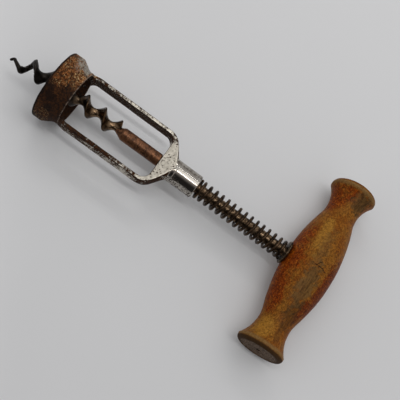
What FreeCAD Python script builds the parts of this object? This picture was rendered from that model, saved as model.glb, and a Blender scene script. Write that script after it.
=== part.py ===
import FreeCAD, Part

import math
import os

from FreeCAD import Placement, Rotation, Vector

# An open-frame spring corkscrew lying on its side. The shank runs along X, with the worm towards -X
# and the wooden T-handle towards +X, along Y. The stations named below are measured along the shank
# from the collar's mouth. The whole tool leans a little, because the collar is fatter than the handle.

os.makedirs("parts", exist_ok=True)
doc = FreeCAD.newDocument("spring_corkscrew")

# Driving dimensions, in millimetres, degrees and counts
DIMENSIONS = (
    ("collar_outer_dia", 35.5),
    ("collar_length", 8.0),
    ("collar_edge", 0.7),
    ("collar_wall", 2.65),
    ("mouth_depth", 5.4),
    ("mouth_bevel", 0.6),
    ("collar_step", 2.35),
    ("ring_wall", 2.0),
    ("ring_length", 5.8),
    ("strap_thickness", 2.2),
    ("window_length", 47.6),
    ("window_top_radius", 4.5),
    ("window_foot_radius", 3.2),
    ("strap_depth", 7.0),
    ("web_depth", 10.0),
    ("web_thickness", 7.0),
    ("shoulder_rise", 4.5),
    ("shoulder_radius", 5.0),
    ("flare_length", 4.5),
    ("neck_outer_dia", 12.0),
    ("neck_length", 14.6),
    ("neck_edge", 0.4),
    ("spigot_dia", 8.6),
    ("brazing_gap", 0.05),
    ("shank_dia", 5.4),
    ("running_gap", 0.05),
    ("stop_dia", 6.5),
    ("stop_length", 22.4),
    ("stop_cone_length", 1.8),
    ("stop_gap", 0.05),
    ("worm_outer_dia", 10.0),
    ("worm_core_dia", 2.8),
    ("worm_pitch", 9.85),
    ("worm_turns", 5.0),
    ("worm_lead_turns", 0.25),
    ("worm_first_crest", 3.3),
    ("point_turns", 1.0),
    ("point_lag", 2.4),
    ("point_root_dia", 1.6),
    ("point_wire_dia", 3.2),
    ("point_wire_station", 2.9),
    ("point_end_dia", 0.6),
    ("point_end_station", 1.2),
    ("point_droop", 2.6),
    ("worm_root_length", 1.0),
    ("worm_bend_length", 41.0),
    ("worm_bend", 0.8),
    ("worm_socket_depth", 4.0),
    ("fin_foot", 3.0),
    ("fin_edge", 0.5),
    ("spring_outer_dia", 10.1),
    ("spring_wire_dia", 1.4),
    ("spring_length", 52.6),
    ("spring_turns", 15.5),
    ("spring_end_pitch", 2.0),
    ("spring_start_turn", 0.95),
    ("spring_seat_gap", 0.1),
    ("washer_dia", 12.2),
    ("washer_thickness", 1.1),
    ("washer_edge", 0.3),
    ("seat_gap", 0.1),
    ("handle_length", 95.6),
    ("handle_belly_dia", 26.3),
    ("handle_waist_dia", 16.35),
    ("handle_end_dia", 24.2),
    ("handle_waist_share", 0.7),
    ("handle_end_land", 0.65),
    ("handle_end_round", 2.0),
    ("handle_offset", 0.8),
    ("lathe_mark_dia", 1.8),
    ("lathe_mark_depth", 0.9),
    ("tang_dia", 4.6),
    ("tang_gap", 0.05),
    ("rove_dia", 9.4),
    ("rove_thickness", 0.9),
    ("rove_recess", 2.0),
    ("rivet_head_dia", 7.0),
    ("rivet_head_height", 1.0),
)

sheet = doc.addObject("Spreadsheet::Sheet", "Sizes")
for row, (alias, number) in enumerate(DIMENSIONS, start=1):
    sheet.set("A%d" % row, alias.replace("_", " "))
    sheet.set("B%d" % row, str(number))
    sheet.setAlias("B%d" % row, alias)
doc.recompute()


class Size:
    """A length that knows its value and the expression that gives it."""

    def __init__(self, value, text):
        self.value = float(value)
        self.text = text

    def join(self, other, sign, value):
        if not isinstance(other, Size):
            other = Size(other, repr(other))
        return Size(value(self.value, other.value), "(%s %s %s)" % (self.text, sign, other.text))

    def __add__(self, other):
        return self.join(other, "+", lambda a, b: a + b)

    def __sub__(self, other):
        return self.join(other, "-", lambda a, b: a - b)

    def __mul__(self, other):
        return self.join(other, "*", lambda a, b: a * b)

    def __truediv__(self, other):
        return self.join(other, "/", lambda a, b: a / b)

    def __neg__(self):
        return Size(-self.value, "(-%s)" % self.text)


def size(alias):
    return Size(sheet.get(alias), "Sizes." + alias)


NIL = Size(0, "0")


# Sketch and feature helpers
def body_of(label):
    body = doc.addObject("PartDesign::Body", "Body_" + label)
    body.Label = label
    return body


def plane_of(body, role):
    return [f for f in body.Origin.OriginFeatures if f.Role == role][0]


def sketch_in(body, role, name, offset=None):
    sketch = body.newObject("Sketcher::SketchObject", name)
    sketch.AttachmentSupport = [(plane_of(body, role), "")]
    sketch.MapMode = "FlatFace"
    if offset is not None:
        sketch.setExpression("AttachmentOffset.Base.z", offset.text)
    return sketch


def bind(sketch, kind, *where, length):
    index = sketch.addConstraint(_constraint(kind, *where, length.value))
    sketch.setExpression("Constraints[%d]" % index, length.text)


def _constraint(kind, *where):
    import Sketcher
    return Sketcher.Constraint(kind, *where)


def pin_point(sketch, edge, end, x, y):
    """Hold an edge's end at x, y, on an axis where the value is nil."""
    if x.value:
        bind(sketch, "DistanceX", -1, 1, edge, end, length=x)
    else:
        sketch.addConstraint(_constraint("PointOnObject", edge, end, -2))
    if y.value:
        bind(sketch, "DistanceY", -1, 1, edge, end, length=y)
    else:
        sketch.addConstraint(_constraint("PointOnObject", edge, end, -1))


def outline(sketch, points, arcs=None):
    """A closed outline through the points. An arc replaces the edge that leaves a point: it has a
    radius and bulges to the left of the way (True) or to its right (False)."""
    arcs = arcs or {}
    ends = []
    for i, (x, y) in enumerate(points):
        x2, y2 = points[(i + 1) % len(points)]
        a = Vector(x.value, y.value, 0)
        b = Vector(x2.value, y2.value, 0)
        if i not in arcs:
            sketch.addGeometry(Part.LineSegment(a, b), False)
            ends.append((1, 2))
            continue
        radius, left = arcs[i]
        chord = b - a
        side = Vector(-chord.y, chord.x, 0).normalize()
        if not left:
            side = -side
        half = chord.Length / 2
        depth = math.sqrt(max(radius.value ** 2 - half ** 2, 0))
        centre = (a + b) / 2 - side * depth
        start = math.atan2(a.y - centre.y, a.x - centre.x)
        stop = math.atan2(b.y - centre.y, b.x - centre.x)
        circle = Part.Circle(centre, Vector(0, 0, 1), radius.value)
        if left:
            sketch.addGeometry(Part.ArcOfCircle(circle, stop, start), False)
            ends.append((2, 1))
        else:
            sketch.addGeometry(Part.ArcOfCircle(circle, start, stop), False)
            ends.append((1, 2))
    for i, (x, y) in enumerate(points):
        before = (i - 1) % len(points)
        sketch.addConstraint(_constraint("Coincident", before, ends[before][1], i, ends[i][0]))
        pin_point(sketch, i, ends[i][0], x, y)
    for i, (radius, left) in arcs.items():
        bind(sketch, "Radius", i, length=radius)


def turned(body, points, arcs=None, axis="H_Axis", name="profile"):
    sketch = sketch_in(body, "XY_Plane", body.Label + "_" + name)
    outline(sketch, points, arcs)
    turn = body.newObject("PartDesign::Revolution", body.Label + "_turned")
    turn.Profile = sketch
    turn.ReferenceAxis = (sketch, [axis])
    turn.Angle = 360
    body.Tip = turn
    return turn


def circle_in(sketch, radius, across=NIL):
    """A circle at the origin, or moved along the sketch's first axis."""
    centre = Vector(across.value, 0, 0)
    edge = sketch.addGeometry(Part.Circle(centre, Vector(0, 0, 1), radius.value), False)
    pin_point(sketch, edge, 3, across, NIL)
    bind(sketch, "Radius", edge, length=radius)


def cut_out(body, sketch, name, length=None, both=False, backwards=False):
    """Cut the sketch out of the body and make sure that the cut took something away."""
    doc.recompute()
    before = body.Shape.Volume
    cut = body.newObject("PartDesign::Pocket", body.Label + "_" + name)
    cut.Profile = sketch
    if length is None:
        cut.Type = "ThroughAll"
    else:
        cut.Type = "Length"
        cut.setExpression("Length", length.text)
    cut.Midplane = both
    cut.Reversed = backwards
    body.Tip = cut
    doc.recompute()
    if body.Shape.Volume > before - 1e-6:
        raise RuntimeError("the cut %s takes nothing away" % name)
    return cut


# Radii and stations that several pieces share
collar_r = size("collar_outer_dia") / 2
mouth_r = collar_r - size("collar_wall")
cage_r = collar_r - size("collar_step")
ring_bore_r = cage_r - size("ring_wall")
neck_r = size("neck_outer_dia") / 2
shank_r = size("shank_dia") / 2
stop_r = size("stop_dia") / 2
core_r = size("worm_core_dia") / 2
tang_r = size("tang_dia") / 2
belly_r = size("handle_belly_dia") / 2

cage_at = size("collar_length")
window_at = cage_at + size("ring_length")
web_at = window_at + size("window_length")
neck_at = web_at + size("web_thickness")
spring_at = neck_at + size("neck_length")
washer_at = spring_at + size("spring_length")
handle_front = washer_at + size("washer_thickness") + size("seat_gap")
handle_at = handle_front + belly_r
stop_at = web_at - size("stop_gap") - size("stop_length")

# The lean that lets the collar's lip and the handle's belly both touch the table
lip_length = size("collar_length") - size("collar_step")
reach = (handle_at - lip_length).value
lean = math.acos(belly_r.value / math.hypot(collar_r.value, reach)) - math.atan2(reach, collar_r.value)
along_axis = Vector(math.cos(lean), 0, -math.sin(lean))
mouth_height = collar_r.value * math.cos(lean) + lip_length.value * math.sin(lean)
lying = Placement(Vector(0, 0, mouth_height), Rotation(Vector(0, 1, 0), math.degrees(lean)))


def seat(piece, station, side=0.0, turn=0.0):
    """Seat a piece at its station on the leaning shank axis, offset and turned in the table's plane."""
    here = Placement(Vector(station.value, side, 0), Rotation(Vector(0, 0, 1), turn))
    piece.Placement = lying.multiply(here)


# Bell collar: the mouth that drops over a bottle's lip, with a cove behind it
def make_collar():
    body = body_of("collar")
    edge, bevel = size("collar_edge"), size("mouth_bevel")
    cove = size("collar_step")
    length = size("collar_length")
    turned(body, [
        (NIL, mouth_r + bevel),
        (NIL, collar_r - edge),
        (edge, collar_r),
        (length - cove, collar_r),
        (length, cage_r),
        (length, ring_bore_r),
        (size("mouth_depth"), ring_bore_r),
        (size("mouth_depth"), mouth_r),
        (bevel, mouth_r),
    ], {1: (edge, True), 3: (cove, False)})
    seat(body, NIL)
    return body


# Cage: a turned blank with two straps, a ring at the collar and a web at the neck
def make_cage():
    body = body_of("cage")
    window_end = size("ring_length") + size("window_length")
    neck_start = window_end + size("web_thickness")
    rise, shoulder = size("shoulder_rise"), size("shoulder_radius")
    turned(body, [
        (NIL, NIL),
        (NIL, cage_r),
        (neck_start - rise - size("flare_length"), cage_r),
        (neck_start - rise, cage_r - rise / 3),
        (neck_start, neck_r),
        (neck_start, NIL),
    ], {2: (shoulder * 2, True)})

    side = sketch_in(body, "XZ_Plane", "cage_side_view")
    strap, web, far = size("strap_depth") / 2, size("web_depth") / 2, cage_r + 2
    over = neck_start + 2
    flare = window_end - size("flare_length")
    outline(side, [(size("ring_length"), strap), (flare, strap), (neck_start, web),
                   (over, web), (over, far), (size("ring_length"), far)])
    cut_out(body, side, "front", both=True)
    back = sketch_in(body, "XZ_Plane", "cage_back_view")
    outline(back, [(size("ring_length"), -strap), (flare, -strap), (neck_start, -web),
                   (over, -web), (over, -far), (size("ring_length"), -far)])
    cut_out(body, back, "back", both=True)

    window = sketch_in(body, "XY_Plane", "cage_window")
    start, half = size("ring_length"), cage_r - size("strap_thickness")
    foot, top = size("window_foot_radius"), size("window_top_radius")
    outline(window, [
        (start, -half + foot), (start, half - foot), (start + foot, half), (window_end - top, half),
        (window_end, half - top), (window_end, -half + top), (window_end - top, -half),
        (start + foot, -half),
    ], {1: (foot, True), 3: (top, True), 5: (top, True), 7: (foot, True)})
    cut_out(body, window, "opening", both=True)

    bore = sketch_in(body, "YZ_Plane", "cage_bore")
    circle_in(bore, ring_bore_r)
    cut_out(body, bore, "ring_bore", size("ring_length"), backwards=True)
    hole = sketch_in(body, "YZ_Plane", "cage_neck_hole")
    circle_in(hole, size("spigot_dia") / 2 + size("brazing_gap"))
    cut_out(body, hole, "neck_hole", backwards=True)
    seat(body, cage_at)
    return body


# Neck: a sleeve brazed into the web, in which the shank slides and turns
def make_neck():
    body = body_of("neck_sleeve")
    start, edge = size("web_thickness"), size("neck_edge")
    end = start + size("neck_length")
    bore_r = shank_r + size("running_gap")
    spigot_r = size("spigot_dia") / 2
    turned(body, [
        (NIL, bore_r), (NIL, spigot_r), (start, spigot_r), (start, neck_r),
        (end - edge, neck_r), (end, neck_r - edge), (end, bore_r),
    ], {4: (edge, True)})
    seat(body, web_at)
    return body


# Spindle: the stop, the shank and the riveted tang, turned from one bar
def make_spindle():
    body = body_of("spindle")
    cone, stop_end = size("stop_cone_length"), size("stop_length")
    shank_end = handle_front - stop_at - size("tang_gap")
    head_at = handle_front - stop_at + belly_r * 2 - size("rove_recess") + size("rove_thickness")
    head_r, head_height = size("rivet_head_dia") / 2, size("rivet_head_height")
    head_round = (head_r * head_r + head_height * head_height) / (head_height * 2)
    socket_r = core_r + size("brazing_gap")
    socket = size("worm_socket_depth")
    turned(body, [
        (socket, NIL), (socket, socket_r), (NIL, socket_r), (NIL, socket_r + size("neck_edge")),
        (cone, stop_r), (stop_end, stop_r), (stop_end, shank_r), (shank_end, shank_r),
        (shank_end, tang_r), (head_at, tang_r), (head_at, head_r), (head_at + head_height, NIL),
    ], {10: (head_round, True)})
    seat(body, stop_at)
    return body


# Thrust washer: takes the spring's push at the handle
def make_washer():
    body = body_of("thrust_washer")
    bore_r, outer_r = shank_r + size("running_gap"), size("washer_dia") / 2
    thick, edge = size("washer_thickness"), size("washer_edge")
    turned(body, [
        (NIL, bore_r), (NIL, outer_r - edge), (edge, outer_r), (thick - edge, outer_r),
        (thick, outer_r - edge), (thick, bore_r),
    ], {1: (edge, True), 3: (edge, True)})
    seat(body, washer_at)
    return body


# Handle: a turned hardwood grip with a belly, two waists and flared ends
def make_handle():
    body = body_of("handle")
    half = size("handle_length") / 2
    waist_r, flare_r = size("handle_waist_dia") / 2, size("handle_end_dia") / 2
    rim = size("handle_end_round")
    station = half * size("handle_waist_share")
    flare = half - rim - size("handle_end_land")
    width, rise = flare - station, flare_r - waist_r
    hollow = (width * width + rise * rise) / (rise * 2)
    drop = belly_r - waist_r
    both_radii = (station * station + drop * drop) / (drop * 2)
    belly_round = both_radii - hollow
    meet = station * belly_round / both_radii
    meet_r = belly_r - belly_round + (both_radii - drop) * belly_round / both_radii
    mark_r, mark = size("lathe_mark_dia") / 2, size("lathe_mark_depth")
    turned(body, [
        (NIL, -half + mark), (mark_r, -half), (flare_r - rim, -half), (flare_r, -half + rim),
        (flare_r, -flare), (meet_r, -meet), (meet_r, meet), (flare_r, flare),
        (flare_r, half - rim), (flare_r - rim, half), (mark_r, half), (NIL, half - mark),
    ], {2: (rim, False), 4: (hollow, True), 5: (belly_round, False), 6: (hollow, True),
        8: (rim, False)}, axis="V_Axis")

    tang_hole = sketch_in(body, "YZ_Plane", "handle_tang_hole")
    circle_in(tang_hole, tang_r + size("tang_gap"), -size("handle_offset"))
    cut_out(body, tang_hole, "tang_hole", both=True)
    recess = sketch_in(body, "YZ_Plane", "handle_recess", belly_r - size("rove_recess"))
    circle_in(recess, size("rove_dia") / 2 + size("running_gap"), -size("handle_offset"))
    cut_out(body, recess, "recess", backwards=True)
    seat(body, handle_at, side=size("handle_offset").value)
    return body


# Rove: the small washer under the riveted end of the tang
def make_rove():
    body = body_of("rove")
    bore_r, outer_r = tang_r + size("tang_gap"), size("rove_dia") / 2
    thick, edge = size("rove_thickness"), size("washer_edge")
    turned(body, [
        (NIL, bore_r), (NIL, outer_r), (thick - edge, outer_r), (thick, outer_r - edge), (thick, bore_r),
    ], {2: (edge, True)})
    seat(body, handle_at + belly_r - size("rove_recess"))
    return body


# Wound wire: a round wire swept along arcs that join smoothly
def biarc(start, start_way, end, end_way):
    """Two arcs from start to end that leave and arrive along the given directions."""
    span = end - start
    ways = start_way + end_way
    bend = 2 * (1 - start_way.dot(end_way))
    if bend < 1e-9:
        reach_out = span.dot(span) / (4 * span.dot(end_way))
    else:
        run = span.dot(ways)
        reach_out = (math.sqrt(run * run + bend * span.dot(span)) - run) / bend
    joint = (start + end + (start_way - end_way) * reach_out) / 2
    return [arc_from(start, start_way, joint), arc_from(end, -end_way, joint)]


def arc_from(start, way, end):
    chord = end - start
    along = Vector(chord).normalize()
    across = way - along * way.dot(along)
    if across.Length < 1e-7:
        return Part.LineSegment(start, end).toShape()
    turn = math.acos(max(-1.0, min(1.0, way.dot(along))))
    bulge = across.normalize() * (chord.Length / 2 * math.tan(turn / 2))
    return Part.Arc(start, (start + end) / 2 + bulge, end).toShape()


def path_through(stations):
    edges = []
    for (a, way_a), (b, way_b) in zip(stations, stations[1:]):
        edges += biarc(a, way_a, b, way_b)
    return Part.Wire(Part.__sortEdges__(edges))


def round_section(centre, way, radius):
    return Part.Wire([Part.Circle(centre, way, radius).toShape()])


def tube(stations, radius, end_radius=None):
    """A solid wire along the stations, as thick at its end as asked."""
    sections = [round_section(stations[0][0], stations[0][1], radius)]
    if end_radius is not None:
        sections.append(round_section(stations[-1][0], stations[-1][1], end_radius))
    return path_through(stations).makePipeShell(sections, True, False)


RIGHT, LEFT = 1, -1


def helix_station(x, radius, turn, rate, hand):
    """A point of a helix about X and the way along it; rate is its advance in one turn."""
    angle = 2 * math.pi * turn
    point = Vector(x, radius * math.cos(angle), hand * radius * math.sin(angle))
    round_trip = 2 * math.pi * radius
    way = Vector(rate, -round_trip * math.sin(angle), hand * round_trip * math.cos(angle))
    return point, way.normalize()


def least_gap(points, wire_dia, skip):
    """The least space between stretches of a wound wire, from points along its centre line."""
    least = None
    for i, a in enumerate(points):
        for b in points[i + skip:]:
            space = a.distanceToPoint(b) - wire_dia
            least = space if least is None else min(least, space)
    return least


QUARTER = 0.25


def make_spring():
    """A compression spring, wound to the left, with close-wound ends."""
    wire = size("spring_wire_dia").value
    radius = (size("spring_outer_dia").value - wire) / 2
    turns, end_pitch = size("spring_turns").value, size("spring_end_pitch").value
    room = size("spring_length").value - wire - 2 * size("spring_seat_gap").value
    steps = int(round(turns / QUARTER))
    close = [min(i, steps - 1 - i) * QUARTER < 1 for i in range(steps)]
    pitch = (room / QUARTER - sum(close) * end_pitch) / (steps - sum(close))
    rates = [end_pitch if near_end else pitch for near_end in close]
    x = size("spring_seat_gap").value + wire / 2
    stations = []
    for i in range(steps + 1):
        rate = (rates[max(i - 1, 0)] + rates[min(i, steps - 1)]) / 2
        turn = size("spring_start_turn").value + i * QUARTER
        stations.append(helix_station(x, radius, turn, rate, LEFT))
        x += rates[min(i, steps - 1)] * QUARTER
    solid = tube(stations, wire / 2)
    points = path_through(stations).discretize(Number=24 * int(turns + 1))
    print("spring: %.1f turns, pitch %.2f mm, least gap to itself %.2f mm"
          % (turns, pitch, least_gap(points, wire, 12)))
    piece = doc.addObject("Part::Feature", "spring")
    piece.Label = "spring"
    piece.Shape = solid
    seat(piece, spring_at)
    return piece


def make_worm():
    """A cored worm: one sharp-edged fin winds to the right round a core that ends in a bent point."""
    core_r, fin_r = size("worm_core_dia").value / 2, size("worm_outer_dia").value / 2
    pitch, turns = size("worm_pitch").value, size("worm_turns").value
    first = -size("worm_first_crest").value
    root_end = -size("worm_root_length").value

    def middle(x):
        """The core's centre line: straight in the socket, then gently bent."""
        swing = math.pi * (root_end - x) / size("worm_bend_length").value
        return Vector(x, size("worm_bend").value * math.sin(swing) if x < root_end else 0, 0)

    def on_helix(turn, radius, drop=0.0):
        point, way = helix_station(first - turn * pitch, radius, -turn, pitch, RIGHT)
        centre = middle(point.x)
        return Vector(point.x, point.y + centre.y - drop, point.z), -way

    # The core, drawn through points of its centre line and rounded at its end
    core_end = first - (turns - QUARTER) * pitch
    spacing = pitch / 2
    count = int((root_end - core_end) / spacing)
    knots = [root_end - i * (root_end - core_end) / count for i in range(count + 1)]
    slope = 0.01
    line = [(Vector(size("worm_socket_depth").value - size("brazing_gap").value, 0, 0), Vector(-1, 0, 0))]
    for x in knots:
        ahead, behind = middle(x - slope), middle(x + slope)
        line.append((middle(x), (ahead - behind).normalize()))
    core = tube(line, core_r)
    core = core.fuse(Part.makeSphere(core_r, middle(core_end)))

    # The fin, a blunt wedge swept at a steady angle to the shank
    foot, edge = size("fin_foot").value / 2, size("fin_edge").value / 2
    sunk = core_r * 0.6

    def wedge(x, tall):
        base = middle(x)
        corners = [(x - foot, sunk), (x - edge, tall), (x + edge, tall), (x + foot, sunk)]
        return Part.makePolygon([Vector(cx, cy + base.y, 0) for cx, cy in corners + corners[:1]])

    mid_r = (core_r + fin_r) / 2
    steps = int(round((turns + size("worm_lead_turns").value) / QUARTER))
    start = -size("worm_lead_turns").value
    stations = [on_helix(start + i * QUARTER, mid_r) for i in range(steps + 1)]
    sweep = Part.BRepOffsetAPI.MakePipeShell(path_through(stations))
    sweep.setBiNormalMode(Vector(1, 0, 0))
    turned_wedge = wedge(first - start * pitch, fin_r)
    turned_wedge.rotate(Vector(0, 0, 0), Vector(1, 0, 0), -360 * start)
    sweep.add(turned_wedge)
    sweep.build()
    sweep.makeSolid()
    fin = sweep.shape()

    # The point: a wire that grows out of the fin, lags and droops, and thins out again
    wire_r, wire_at = size("point_wire_dia").value / 2, size("point_wire_station").value
    whole = size("point_turns").value

    def on_point(share):
        closing = max(0.0, 2 * share - 1)
        radius = wire_at * (1 - closing) + size("point_end_station").value * closing
        point, way = on_helix(turns + whole * share, radius, size("point_droop").value * share)
        return point + Vector(size("point_lag").value * math.sin(math.pi * share), 0, 0), way

    growing = tube([on_point(share) for share in (0, 0.25, 0.5)],
                   size("point_root_dia").value / 2, wire_r)
    thinning = tube([on_point(share) for share in (0.5, 0.75, 1)],
                    wire_r, size("point_end_dia").value / 2)
    piece = doc.addObject("Part::Feature", "worm")
    piece.Label = "worm"
    piece.Shape = core.fuse([fin, growing, thinning])
    seat(piece, stop_at)
    return piece


pieces = [
    make_collar(), make_cage(), make_neck(), make_spindle(), make_washer(), make_handle(), make_rove(),
    make_spring(), make_worm(),
]
doc.recompute()

# The origin lies on the table, under the middle of the tool's length and breadth
boxes = [piece.Shape.optimalBoundingBox(False, False) for piece in pieces]
middle_x = (min(box.XMin for box in boxes) + max(box.XMax for box in boxes)) / 2
middle_y = (min(box.YMin for box in boxes) + max(box.YMax for box in boxes)) / 2
to_origin = Placement(Vector(-middle_x, -middle_y, 0), Rotation())
for piece in pieces:
    piece.Placement = to_origin.multiply(piece.Placement)
doc.recompute()

for thing in doc.Objects:
    if "Invalid" in thing.State or "Error" in thing.State:
        raise RuntimeError("%s is not well made: %s" % (thing.Label, thing.State))
for piece in pieces:
    shape = piece.Shape
    if shape.isNull() or not shape.isValid():
        raise RuntimeError("%s has no sound shape" % piece.Label)
    if len(shape.Solids) != 1:
        raise RuntimeError("%s holds %d solids" % (piece.Label, len(shape.Solids)))
for piece in pieces:
    piece.Shape.exportStep("parts/%s.step" % piece.Label)
    box = piece.Shape.optimalBoundingBox(False, False)
    print("%-14s %8.1f mm3  x %.2f..%.2f  y %.2f..%.2f  z %.2f..%.2f" % (
        piece.Label, piece.Shape.Volume, box.XMin, box.XMax, box.YMin, box.YMax, box.ZMin, box.ZMax))
mouth = to_origin.multiply(lying)
print("lean %.4f degrees, mouth at %.4f, %.4f, %.4f mm, shank along %.6f, %.6f, %.6f" % (
    math.degrees(lean), mouth.Base.x, mouth.Base.y, mouth.Base.z, along_axis.x, along_axis.y, along_axis.z))
print("stations: window %.2f, web %.2f, neck %.2f, spring %.2f, washer %.2f, handle %.2f, stop %.2f" % (
    window_at.value, web_at.value, neck_at.value, spring_at.value, washer_at.value, handle_at.value,
    stop_at.value))
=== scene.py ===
import math

import bmesh
import bpy
from bpy.props import FloatProperty, FloatVectorProperty, IntProperty, PointerProperty
from mathutils import Matrix, Vector, noise
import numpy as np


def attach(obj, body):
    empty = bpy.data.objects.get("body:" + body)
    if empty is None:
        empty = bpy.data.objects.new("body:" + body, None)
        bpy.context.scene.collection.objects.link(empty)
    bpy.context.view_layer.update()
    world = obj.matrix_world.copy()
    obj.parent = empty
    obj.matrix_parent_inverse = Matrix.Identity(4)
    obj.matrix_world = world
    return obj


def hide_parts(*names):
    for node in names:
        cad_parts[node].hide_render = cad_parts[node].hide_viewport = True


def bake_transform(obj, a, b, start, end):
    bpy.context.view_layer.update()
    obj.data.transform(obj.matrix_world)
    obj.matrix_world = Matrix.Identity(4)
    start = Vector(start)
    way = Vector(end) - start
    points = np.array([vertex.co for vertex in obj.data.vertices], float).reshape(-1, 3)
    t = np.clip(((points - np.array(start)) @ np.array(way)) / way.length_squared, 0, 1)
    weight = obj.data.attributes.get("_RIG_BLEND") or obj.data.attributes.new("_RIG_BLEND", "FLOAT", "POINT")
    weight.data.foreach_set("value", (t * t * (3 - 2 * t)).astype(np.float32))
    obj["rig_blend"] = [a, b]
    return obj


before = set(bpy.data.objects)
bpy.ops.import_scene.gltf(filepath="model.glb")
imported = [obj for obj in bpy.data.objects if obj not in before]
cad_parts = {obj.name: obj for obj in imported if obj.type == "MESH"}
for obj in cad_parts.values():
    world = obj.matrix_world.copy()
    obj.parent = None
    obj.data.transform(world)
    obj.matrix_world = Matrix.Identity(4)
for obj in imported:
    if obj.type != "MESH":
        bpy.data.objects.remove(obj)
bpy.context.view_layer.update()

bl_info = {
    "name": "Spring corkscrew",
    "version": (1, 0, 0),
    "blender": (4, 5, 0),
    "location": "View3D > Sidebar > Corkscrew",
    "description": "An old spring corkscrew: rusted collar, plated cage, cored worm, coil spring "
                   "and turned handle",
    "category": "Object",
}

# The shank's own frame: X runs from the collar's mouth to the handle, Z away from the table
MM = 0.001
TAU = 2 * math.pi
MOUTH = Vector((-0.0696653, -0.0008, 0.0179208))
LEAN = math.radians(1.8232)
SHANK = Matrix.Translation(MOUTH) @ Matrix.Rotation(LEAN, 4, "Y")

# Clearances, and the fits that several pieces share
RUNNING_GAP = 0.05 * MM
SEAT_GAP = 0.1 * MM
TABLE_GAP = 0.05 * MM
CAGE_LAP = 2.2 * MM
TANG_BORE = 2.35 * MM
ROVE_RADIUS = 4.7 * MM
ROVE_RECESS = 2.0 * MM


# Sizes and colours that a user would change
def length(name, description, millimetres):
    return FloatProperty(name=name, description=description, default=millimetres * MM, min=0.0,
                         precision=5, unit="LENGTH")


def colour(name, description, red, green, blue):
    return FloatVectorProperty(name=name, description=description, default=(red, green, blue),
                               min=0.0, max=1.0, size=3, subtype="COLOR")


class CorkscrewFrameSizes(bpy.types.PropertyGroup):
    """The sizes of the collar, the cage and the neck."""

    collar_radius: length("Collar radius", "Outer radius of the bell collar", 17.75)
    collar_length: length("Collar length", "Length of the bell collar", 8.0)
    shoulder_radius: length("Shoulder radius", "Radius where the collar's shoulder meets the ring", 16.0)
    waist_radius: length("Waist radius", "Smallest radius of the ring, behind the shoulder", 14.65)
    mouth_radius: length("Mouth radius", "Radius of the mouth that drops over a bottle", 15.1)
    mouth_depth: length("Mouth depth", "Depth of the mouth", 5.4)
    ring_radius: length("Ring radius", "Outer radius of the cage", 15.4)
    ring_bore: length("Ring bore", "Radius of the hole through the cage's ring", 13.4)
    ring_length: length("Ring length", "Length of the cage's ring", 4.7)
    window_length: length("Window length", "Length of the cage's window", 48.7)
    web_length: length("Web length", "Length of the web between window and neck", 7.0)
    strap_thickness: length("Strap thickness", "Thickness of a strap", 2.2)
    strap_depth: length("Strap depth", "Depth of a strap, seen from the side", 7.0)
    web_depth: length("Web depth", "Depth of the web, seen from the side", 10.0)
    neck_radius: length("Neck radius", "Outer radius of the neck", 6.0)
    neck_length: length("Neck length", "Length of the neck", 14.6)
    neck_bore: length("Neck bore", "Radius of the hole through the neck", 2.75)
    skin: length("Cage skin", "Size of the faces of the cage's skin", 0.27)


class CorkscrewScrewSizes(bpy.types.PropertyGroup):
    """The sizes of the spindle, the worm and the spring."""

    stop_radius: length("Stop radius", "Radius of the thick stop behind the worm", 3.25)
    stop_length: length("Stop length", "Length of the stop", 22.4)
    shank_radius: length("Shank radius", "Radius of the shank", 2.7)
    core_radius: length("Core radius", "Radius of the worm's core", 1.3)
    fin_radius: length("Fin radius", "Outer radius of the worm", 5.0)
    fin_edge: length("Fin edge", "Width of the fin's edge", 0.5)
    worm_pitch: length("Worm pitch", "Advance of the worm in one turn", 9.85)
    worm_turns: FloatProperty(name="Worm turns", description="Turns of the fin", default=5.0, min=1.0)
    worm_skin: length("Worm skin", "Size of the faces of the worm's skin", 0.16)
    spring_radius: length("Spring radius", "Radius of the spring's centre line", 4.35)
    wire_radius: length("Wire radius", "Radius of the spring's wire", 0.73)
    spring_turns: FloatProperty(name="Spring turns", description="Turns of the spring", default=15.5,
                                min=3.0)
    spring_length: length("Spring length", "Room between neck and washer", 52.6)
    end_pitch: length("End pitch", "Advance of the spring's last turns", 2.0)
    washer_radius: length("Washer radius", "Radius of the thrust washer", 6.1)
    washer_thickness: length("Washer thickness", "Thickness of the thrust washer", 1.1)


class CorkscrewHandleSizes(bpy.types.PropertyGroup):
    """The sizes of the turned handle."""

    length: length("Handle length", "Length of the handle", 95.6)
    belly: length("Belly radius", "Radius at the handle's middle", 13.15)
    waist: length("Waist radius", "Radius at the handle's waists", 8.175)
    flare: length("End radius", "Radius of the handle's ends", 12.1)
    rim: length("Rim radius", "Rounding of the handle's ends", 2.0)
    dents: length("Dents", "Depth of the handle's dents", 0.12)
    rings: IntProperty(name="Rings", description="Rings of faces along the handle", default=230, min=40)


class CorkscrewColours(bpy.types.PropertyGroup):
    """The colours of the finishes."""

    rust: colour("Rust", "Bright rust", 0.215, 0.076, 0.021)
    speck: colour("Rust specks", "Pale specks in the rust", 0.62, 0.41, 0.19)
    scale: colour("Scale", "Old, nearly black rust", 0.010, 0.0048, 0.0034)
    nickel: colour("Nickel", "Plating", 0.66, 0.615, 0.55)
    bronze: colour("Bronzed steel", "The worm in the cage", 0.112, 0.064, 0.032)
    brown: colour("Browned steel", "The stop behind the worm", 0.158, 0.068, 0.031)
    wire: colour("Spring wire", "The spring", 0.052, 0.032, 0.018)
    varnish: colour("Varnish", "Red-brown varnish", 0.180, 0.032, 0.0020)
    wood: colour("Wood", "Ochre wood under thin varnish", 0.225, 0.088, 0.011)
    worn: colour("Worn wood", "Grey wood where the varnish has gone", 0.115, 0.062, 0.020)
    table: colour("Table", "The pale table", 0.70, 0.70, 0.702)


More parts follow.
